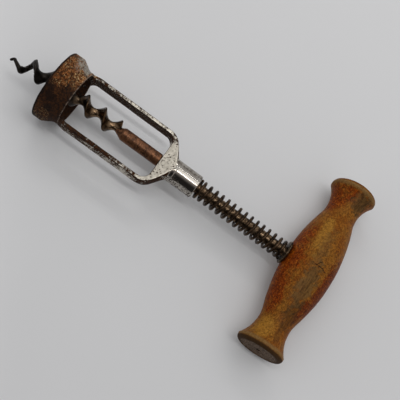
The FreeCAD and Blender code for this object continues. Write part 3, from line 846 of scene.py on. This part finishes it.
def cage_cuts(s, window_end, end):
    """What is milled and bored out of the blank: front, back, window, ring and shank hole."""
    lap, far = end + CAGE_LAP, s.ring_radius + 2 * MM
    flare_from, ring_end = window_end - 2.0 * MM, s.ring_length - 0.11 * MM
    strap, web, lip = s.strap_depth / 2, s.web_depth / 2 + 0.6 * MM, s.neck_radius + 0.2 * MM
    cuts = []
    for side in (1, -1):
        over = [(ring_end, side * strap), (flare_from, side * strap), (end, side * web),
                (lap, side * lip), (lap + 3 * MM, side * far), (ring_end, side * far)]
        cuts.append(prism(over, -far, far, upright=False))

    # The window's corners: centre, rounding and the angle where each arc starts
    half, foot, top = s.ring_radius - s.strap_thickness, 4.0 * MM, 4.5 * MM
    corners = [(s.ring_length + foot, -half + foot, foot, math.pi),
               (window_end - top, -half + top, top, 1.5 * math.pi),
               (window_end - top, half - top, top, 0.0),
               (s.ring_length + foot, half - foot, foot, 0.5 * math.pi)]
    opening, steps = [], 8
    for x, y, radius, start in corners:
        for k in range(steps + 1):
            angle = start + math.pi / 2 * k / steps
            opening.append((x + radius * math.cos(angle), y + radius * math.sin(angle)))
    cuts.append(prism(opening, -far, far, upright=True))
    for start, stop, radius, around in (
        (-MM, s.ring_length + 0.37 * MM, s.ring_bore, 160),
        (window_end - MM, lap + MM, s.neck_bore, 64),
    ):
        cuts.append(drill(start, stop, radius, around))
    return cuts


def drill(start, stop, radius, around):
    """A round cutter along X."""
    return lathe([Vector(p) for p in ((start, 0), (start, radius), (stop, radius), (stop, 0))], around)


class CORKSCREW_OT_neck(bpy.types.Operator):
    """Turn the polished neck in which the shank slides"""

    bl_idname = "corkscrew.neck"
    bl_label = "Neck"

    def execute(self, context):
        s = context.scene.corkscrew_frame
        spigot, spigot_radius, step = -3.0 * MM, 4.3 * MM, 1.9 * MM
        line = rounded([
            (spigot, s.neck_bore, 0), (spigot, spigot_radius, 0), (step, spigot_radius, 0),
            (step, s.neck_radius - 0.1 * MM, 0), (step + 0.4 * MM, s.neck_radius, 0),
            (s.neck_length * 0.5, s.neck_radius - 0.03 * MM, 0),
            (s.neck_length, s.neck_radius - 0.05 * MM, 0.5 * MM), (s.neck_length, s.neck_bore, 0.3 * MM),
            (s.neck_length - 2 * MM, s.neck_bore, 0),
        ])
        mesh = turned("polished_neck", line, step=0.5 * MM, around=160)
        weather(mesh, depth=0.015 * MM, grain=4.0 * MM, seed=5)
        place = at_station(stations(context.scene)["neck"])
        add_piece("polished_neck", mesh, place, "frame", ["neck_sleeve"], "bright_nickel", bright_nickel())
        return {"FINISHED"}


class CORKSCREW_OT_spindle(bpy.types.Operator):
    """Turn the spindle: stop, shank, tang and rivet head"""

    bl_idname = "corkscrew.spindle"
    bl_label = "Spindle"

    def execute(self, context):
        s, h, at = context.scene.corkscrew_screw, context.scene.corkscrew_handle, stations(context.scene)
        nose, cone, full = -2.8 * MM, -0.6 * MM, 1.1 * MM
        tang_radius = TANG_BORE - RUNNING_GAP
        shank_end = at["handle"] - at["stop"] - RUNNING_GAP
        head_at = at["handle"] - at["stop"] + 2 * h.belly - 1.1 * MM
        head_height, head_radius = 1.0 * MM, 3.5 * MM
        head = [Vector((head_at + head_height * math.sin(t), head_radius * math.cos(t)))
                for t in [math.pi / 2 * k / 8 for k in range(9)]]
        line = [*rounded([
            (nose, 0.0, 0), (nose, s.core_radius, 0.2 * MM), (cone, s.core_radius + 1.0 * MM, 1.5 * MM),
            (full, s.stop_radius, 0.8 * MM),
            (s.stop_length - 0.3 * MM, s.stop_radius, 0.2 * MM), (s.stop_length, s.shank_radius, 0),
            (shank_end, s.shank_radius, 0.1 * MM), (shank_end, tang_radius, 0.1 * MM),
            (head_at, tang_radius, 0),
        ]), *head]
        mesh = turned("turned_spindle", line, step=0.3 * MM, around=72, closed=False)
        weather(mesh, depth=0.05 * MM, grain=2.2 * MM, seed=6)
        add_piece("turned_spindle", mesh, at_station(at["stop"]), "screw", ["spindle"], "browned_steel",
                  browned_steel(), rubbed_steel(), rove_metal())
        for face in mesh.polygons:
            x = face.center.x
            face.material_index = 0 if x < s.stop_length else 1 if x < shank_end else 2
        return {"FINISHED"}


class CORKSCREW_OT_washers(bpy.types.Operator):
    """Turn the thrust washer and the rove under the rivet head"""

    bl_idname = "corkscrew.washers"
    bl_label = "Washers"

    def execute(self, context):
        s, h, at = context.scene.corkscrew_screw, context.scene.corkscrew_handle, stations(context.scene)
        bore, edge = s.shank_radius + RUNNING_GAP, 0.38 * MM
        line = rounded([
            (0.0, bore, 0), (0.0, s.washer_radius, edge),
            (s.washer_thickness, s.washer_radius, edge), (s.washer_thickness, bore, 0),
        ])
        mesh = turned("worn_washer", line, step=0.5 * MM, around=128)
        weather(mesh, depth=0.05 * MM, grain=2.5 * MM, seed=7)
        place = at_station(at["washer"])
        add_piece("worn_washer", mesh, place, "follower", ["thrust_washer"], "worn_nickel", washer_metal())
        thick = 0.9 * MM
        line = rounded([
            (0.0, TANG_BORE, 0), (0.0, ROVE_RADIUS, 0.15 * MM),
            (thick, ROVE_RADIUS, 0.35 * MM), (thick, TANG_BORE, 0),
        ])
        mesh = turned("dished_rove", line, step=0.4 * MM, around=96)
        weather(mesh, depth=0.05 * MM, grain=2.0 * MM, seed=8)
        place = at_station(at["handle"] + 2 * h.belly - ROVE_RECESS)
        add_piece("dished_rove", mesh, place, "screw", ["rove"], "browned_steel", rove_metal())
        return {"FINISHED"}


class CORKSCREW_OT_handle(bpy.types.Operator):
    """Turn the handle, then bore it for the tang and the rove and dent it"""

    bl_idname = "corkscrew.handle"
    bl_label = "Handle"

    def execute(self, context):
        h = context.scene.corkscrew_handle
        off_centre = 0.8 * MM
        form = lathe(handle_line(h), around=150)
        bmesh.ops.transform(form, matrix=Matrix.Rotation(math.pi / 2, 4, "Z"), verts=form.verts)
        cuts = []
        for start, radius, around in (
            (-h.belly - MM, TANG_BORE, 48),
            (h.belly - ROVE_RECESS, ROVE_RADIUS + RUNNING_GAP, 72),
        ):
            bore = drill(start, h.belly + 2 * MM, radius, around)
            bmesh.ops.translate(bore, vec=(0, -off_centre, 0), verts=bore.verts)
            cuts.append(bore)
        mesh = carved(form, cuts, "turned_handle")
        weather(mesh, depth=h.dents, grain=11.0 * MM, seed=9)
        weather(mesh, depth=h.dents * 0.45, grain=2.6 * MM, seed=10, sharp=1.5)
        place = SHANK @ Matrix.Translation((stations(context.scene)["handle"] + h.belly, off_centre, 0))
        add_piece("turned_handle", mesh, place, "screw", ["handle"], "varnished_wood", varnished_wood())
        return {"FINISHED"}


# The turned end face of the handle, from its rim to its middle: depth and radius (mm)
END_FACE = ((0.02, 9.7), (0.3, 9.3), (0.15, 4.0), (0.3, 3.7), (0.2, 1.4), (1.1, 1.1), (1.2, 0.0))


def handle_line(h):
    """The handle's outline from end to end: a belly, two waists and rounded, flared ends."""
    half = h.length / 2
    station = half * 0.7
    flare_at = half - h.rim - 0.65 * MM
    width, rise = flare_at - station, h.flare - h.waist
    hollow = (width * width + rise * rise) / (rise * 2)
    drop = h.belly - h.waist
    both = (station * station + drop * drop) / (drop * 2)
    belly_round = both - hollow
    line = []
    for k in range(h.rings + 1):
        y = flare_at * k / h.rings
        if y < station * belly_round / both:
            r = h.belly - belly_round + math.sqrt(belly_round * belly_round - y * y)
        else:
            r = h.waist + hollow - math.sqrt(max(hollow * hollow - (y - station) ** 2, 0.0))
        line.append(Vector((y, r)))
    rim = [Vector((half - h.rim + h.rim * math.sin(t), h.flare - h.rim + h.rim * math.cos(t)))
           for t in [math.pi / 2 * k / 10 for k in range(11)]]
    face = [rim[-1], *(Vector((half - depth * MM, radius * MM)) for depth, radius in END_FACE)]
    right = line[::2] + rim + spaced(face, step=0.3 * MM)[1:]
    return [Vector((-x, r)) for x, r in reversed(right[1:])] + right


class CORKSCREW_OT_spring(bpy.types.Operator):
    """Wind the spring; its end turns stay with the neck and the washer, the rest closes up evenly"""

    bl_idname = "corkscrew.spring"
    bl_label = "Spring"

    def execute(self, context):
        s, start = context.scene.corkscrew_screw, stations(context.scene)["spring"]
        turns, per_turn, around = s.spring_turns, 36, 14
        first_turn_at, slack, first_angle = 0.8 * MM, 0.2 * MM, 0.95
        pitch = (s.spring_length - 2 * s.wire_radius - slack - 2 * s.end_pitch) / (turns - 2)
        path = []
        for i in range(int(turns * per_turn) + 1):
            t = i / per_turn
            first, middle, final = min(t, 1), min(max(t - 1, 0), turns - 2), max(t - turns + 1, 0)
            x = first_turn_at + s.end_pitch * first + pitch * middle + s.end_pitch * final
            angle = TAU * (t + first_angle)
            path.append(Vector((x, s.spring_radius * math.cos(angle), -s.spring_radius * math.sin(angle))))
        mesh = mesh_from(tube(path, s.wire_radius, around), "wound_spring")
        piece = place_piece("wound_spring", mesh, at_station(start), dark_wire())
        ends = [at_station(start) @ Vector((x, 0, 0)) for x in (0.0, s.spring_length)]
        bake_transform(piece, "frame", "follower", start=ends[0], end=ends[1])
        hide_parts("spring")
        # Each round section of the wire gets one share of the travel, so that the wire stays round
        share = mesh.attributes["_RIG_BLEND"].data
        last, end_share, end_rings = len(path) - 1, 0.017, len(ROUND_END) - 1
        for k in range(len(mesh.vertices)):
            t = min(max(k // around - end_rings, 0), last) / per_turn
            middle = min(max((t - 1) / (turns - 2), 0.0), 1.0)
            share[k].value = (end_share * min(t, 1.0) + (1 - 2 * end_share) * middle
                              + end_share * min(max(t - turns + 1, 0.0), 1.0))
        return {"FINISHED"}


class CORKSCREW_OT_worm(bpy.types.Operator):
    """Forge the worm: a core, one hollow-sided fin that winds round it, and a bent point"""

    bl_idname = "corkscrew.worm"
    bl_label = "Worm"

    def execute(self, context):
        s = context.scene.corkscrew_screw
        root, fin_from, turns, count = 3.9 * MM, -3.3 * MM, s.worm_turns, 120
        core_end = fin_from - (turns - 0.32) * s.worm_pitch
        core = [worm_middle(root + (core_end - root) * k / count) for k in range(count + 1)]
        fin = worm_fin(s, fin_from, begin=-0.25, end=turns + 0.1)
        forms = [tube(core, s.core_radius, around=32), fin, worm_point()]
        mesh = carved(joined(forms), [], "cored_worm", s.worm_skin, smoothing=2)
        weather(mesh, depth=0.05 * MM, grain=1.6 * MM, seed=11)
        add_piece("cored_worm", mesh, at_station(stations(context.scene)["stop"]), "screw", ["worm"],
                  "browned_steel", bronzed_steel())
        return {"FINISHED"}


def worm_middle(x):
    """The worm's centre line: straight at its root, then gently bent."""
    bend_from, bend_length, bow = -1.0 * MM, 41.0 * MM, 0.8 * MM
    swing = math.pi * (bend_from - x) / bend_length
    return Vector((x, bow * math.sin(swing) if x < bend_from else 0.0, 0.0))


def eased(value, low, high):
    """From 0 at low to 1 at high, level at both ends."""
    share = min(max((value - low) / (high - low), 0.0), 1.0)
    return share * share * (3 - 2 * share)


def fin_station(s, first, turn):
    """Where the fin is along the worm. The last turns are pulled together a little on the lower side."""
    uneven = (1.45 * eased(turn, 2.2, 4.3) - 0.15) * (1 - math.cos(TAU * turn)) / 2
    return first - turn * s.worm_pitch + uneven * MM


def worm_fin(s, first, begin, end):
    """The fin's skin. Its sides are so hollow that two turns meet in a round valley on the core."""
    form, rings = bmesh.new(), []
    sunk, heights, valley, steps = s.core_radius * 0.5, 14, 2.2, int((end - begin) * 72)
    half, edge = s.worm_pitch / 2, s.fin_edge / 2
    for i in range(steps + 1):
        turn = begin + (end - begin) * i / steps
        across, up = math.cos(TAU * turn), -math.sin(TAU * turn)
        x = fin_station(s, first, turn)
        runout = min(1.0, (turn - begin) / 0.2 + 0.2, (end - turn) / 0.10 + 0.2)
        tall = (s.fin_radius - s.core_radius) * runout
        reach = {-1: half * (1 - 0.86 * eased(turn, end - 0.95, end - 0.25)),
                 1: half * (0.35 + 0.65 * eased(turn, begin, begin + 0.6))}
        ring = []
        for side in (-1, 1):
            flank = [(side * reach[side], sunk, 0.0)]
            for k in range(heights + 1):
                share = k / heights
                wide = edge + (reach[side] - edge) * (1 - share ** (1 / valley))
                flank.append((side * wide, s.core_radius, share))
            for dx, low, share in flank if side < 0 else flank[::-1]:
                middle, height = worm_middle(x + dx), low + tall * share
                ring.append(form.verts.new((x + dx, middle.y + height * across, height * up)))
        rings.append(ring)
    return skinned(form, rings)


# The bent point, from inside the fin to the tip: station, side, height, half height and half width (mm)
POINT = (
    (-48.9, -0.8, 2.7, 1.3, 1.3),
    (-50.4, 1.0, 2.3, 1.7, 1.2),
    (-51.9, 1.9, 0.8, 2.3, 1.15),
    (-52.4, 1.1, -1.2, 1.6, 1.3),
    (-53.6, -0.7, -2.5, 1.1, 1.25),
    (-54.2, -2.2, -2.1, 1.35, 1.4),
    (-54.6, -3.8, -0.7, 1.9, 1.4),
    (-55.3, -4.5, 0.8, 1.9, 1.25),
    (-56.6, -4.2, 1.8, 1.05, 1.05),
    (-59.1, -2.7, 1.0, 0.85, 0.85),
    (-60.4, -1.95, 0.3, 0.85, 0.8),
    (-61.75, -3.05, -0.4, 0.56, 0.56),
)


def worm_point():
    """The point: it leaves the core, loops once with a slack turn and ends in a short, blunt hook."""
    path, parts = [], 8
    for k in range(len(POINT) - 1):
        before, a, b, after = (Vector(POINT[min(max(k + j, 0), len(POINT) - 1)][:3]) for j in (-1, 0, 1, 2))
        for j in range(parts):
            t = j / parts
            spot = ((b - before) * t + (before * 2 - a * 5 + b * 4 - after) * t ** 2
                    + (a * 3 - before - b * 3 + after) * t ** 3) / 2 + a
            path.append((spot, *(POINT[k][i] + (POINT[k + 1][i] - POINT[k][i]) * t for i in (3, 4))))
    path.append((Vector(POINT[-1][:3]), *POINT[-1][3:]))

    form, rings, last, hook = bmesh.new(), [], len(path) - 1, 20
    steps = {0: ((-0.4, 0.6), (0.0, 1.0)), last: ((0.0, 1.0), (0.3, 0.65))}
    for k, (spot, tall, wide) in enumerate(path):
        way = (path[min(k + 1, last)][0] - path[max(k - 1, 0)][0]).normalized()
        # The section stands away from the worm's slanting middle; along the hook it keeps its way
        if k < last - hook:
            out = Vector((0, spot.y + 0.6 - 0.25 * (spot.x + 51.0), spot.z))
        out = (out - way * out.dot(way)).normalized()
        side = way.cross(out)
        for slip, share in steps.get(k, ((0.0, 1.0),)):
            rings.append(loop(form, 24, lambda c, s: (
                spot + way * slip + (out * (tall * c) + side * (wide * s)) * share) * MM))
    return skinned(form, rings)


# The lights: name, place (m), width and height (m) and power (W)
LIGHTS = (
    ("window_light", (-0.45, 0.75, 0.90), 0.50, 0.50, 6.4),
    ("ceiling_lamp", (0.0, -0.02, 1.30), 1.00, 0.10, 2.5),
    ("soft_lamp", (0.30, 0.20, 1.00), 0.70, 0.70, 1.5),
    ("second_lamp", (0.0, 0.75, 1.05), 1.00, 0.06, 2.0),
)

# The camera: place (m), turn (degrees) and focal length (mm)
CAMERA_PLACE = (0.008317, -0.120618, 0.338322)
CAMERA_TURN = (15.3741, -12.5912, 33.5139)
FOCAL_LENGTH = 64.769


def room_light():
    """The room: bright, but dark on the near side, which the neck's polish mirrors as a band."""
    world = bpy.data.worlds.new("room")
    world.use_nodes = True
    tree = world.node_tree
    way = Field(tree, tree.nodes.new("ShaderNodeTexCoord").outputs["Generated"])
    dark = abs(way.axis("X")).fall(0.25, 0.62) * way.axis("Y").fall(-0.80, 0.05)
    sky = tree.nodes["Background"].inputs
    link(tree, (0.985, 0.985, 1.0), sky["Color"])
    link(tree, dark.fall(0.0, 1.0, 0.545, 0.03), sky["Strength"])
    return world


class CORKSCREW_OT_stage(bpy.types.Operator):
    """Lay the table, hang the lights and set up the camera"""

    bl_idname = "corkscrew.stage"
    bl_label = "Stage"

    def execute(self, context):
        scene = context.scene
        form = bmesh.new()
        bmesh.ops.create_grid(form, x_segments=8, y_segments=8, size=3.0)
        table = as_object(form, "table")
        table.data.materials.append(plain_table())
        table.location.z = -TABLE_GAP

        scene.world = room_light()
        scene.view_settings.view_transform = "Standard"
        for name, place, wide, high, watts in LIGHTS:
            data = bpy.data.lights.new(name, "AREA")
            data.shape = "RECTANGLE"
            data.size, data.size_y = wide, high
            data.energy = watts
            lamp = bpy.data.objects.new(name, data)
            scene.collection.objects.link(lamp)
            lamp.location = place
            way = -Vector(place).normalized()
            up = way.cross(Vector((1, 0, 0))).normalized()
            lamp.rotation_euler = Matrix((up.cross(way), up, -way)).transposed().to_euler()

        data = bpy.data.cameras.new("camera")
        data.sensor_width = 36.0
        data.lens = FOCAL_LENGTH
        data.clip_start, data.clip_end = 0.01, 10.0
        camera = bpy.data.objects.new("camera", data)
        scene.collection.objects.link(camera)
        camera.location = CAMERA_PLACE
        camera.rotation_euler = [math.radians(angle) for angle in CAMERA_TURN]
        scene.camera = camera
        return {"FINISHED"}


class CORKSCREW_PT_panel(bpy.types.Panel):
    """The corkscrew's pieces"""

    bl_idname = "CORKSCREW_PT_panel"
    bl_label = "Spring corkscrew"
    bl_space_type = "VIEW_3D"
    bl_region_type = "UI"
    bl_category = "Corkscrew"

    def draw(self, context):
        for operator in OPERATORS:
            self.layout.operator(operator.bl_idname)
        for name in GROUPS:
            settings = getattr(context.scene, name)
            box = self.layout.box()
            for key in settings.__annotations__:
                box.prop(settings, key)


OPERATORS = (
    CORKSCREW_OT_stage,
    CORKSCREW_OT_collar,
    CORKSCREW_OT_cage,
    CORKSCREW_OT_neck,
    CORKSCREW_OT_spindle,
    CORKSCREW_OT_washers,
    CORKSCREW_OT_handle,
    CORKSCREW_OT_spring,
    CORKSCREW_OT_worm,
)
GROUPS = {
    "corkscrew_frame": CorkscrewFrameSizes,
    "corkscrew_screw": CorkscrewScrewSizes,
    "corkscrew_handle": CorkscrewHandleSizes,
    "corkscrew_colours": CorkscrewColours,
}


def register():
    for group in GROUPS.values():
        bpy.utils.register_class(group)
    for name, group in GROUPS.items():
        setattr(bpy.types.Scene, name, PointerProperty(type=group))
    for operator in OPERATORS:
        bpy.utils.register_class(operator)
    bpy.utils.register_class(CORKSCREW_PT_panel)


def unregister():
    bpy.utils.unregister_class(CORKSCREW_PT_panel)
    for operator in reversed(OPERATORS):
        bpy.utils.unregister_class(operator)
    for name in GROUPS:
        delattr(bpy.types.Scene, name)
    for group in reversed(list(GROUPS.values())):
        bpy.utils.unregister_class(group)


def main():
    register()
    bpy.ops.corkscrew.stage()
    bpy.ops.corkscrew.collar()
    bpy.ops.corkscrew.cage()
    bpy.ops.corkscrew.neck()
    bpy.ops.corkscrew.spindle()
    bpy.ops.corkscrew.washers()
    bpy.ops.corkscrew.handle()
    bpy.ops.corkscrew.spring()
    bpy.ops.corkscrew.worm()


if __name__ == "__main__":
    main()
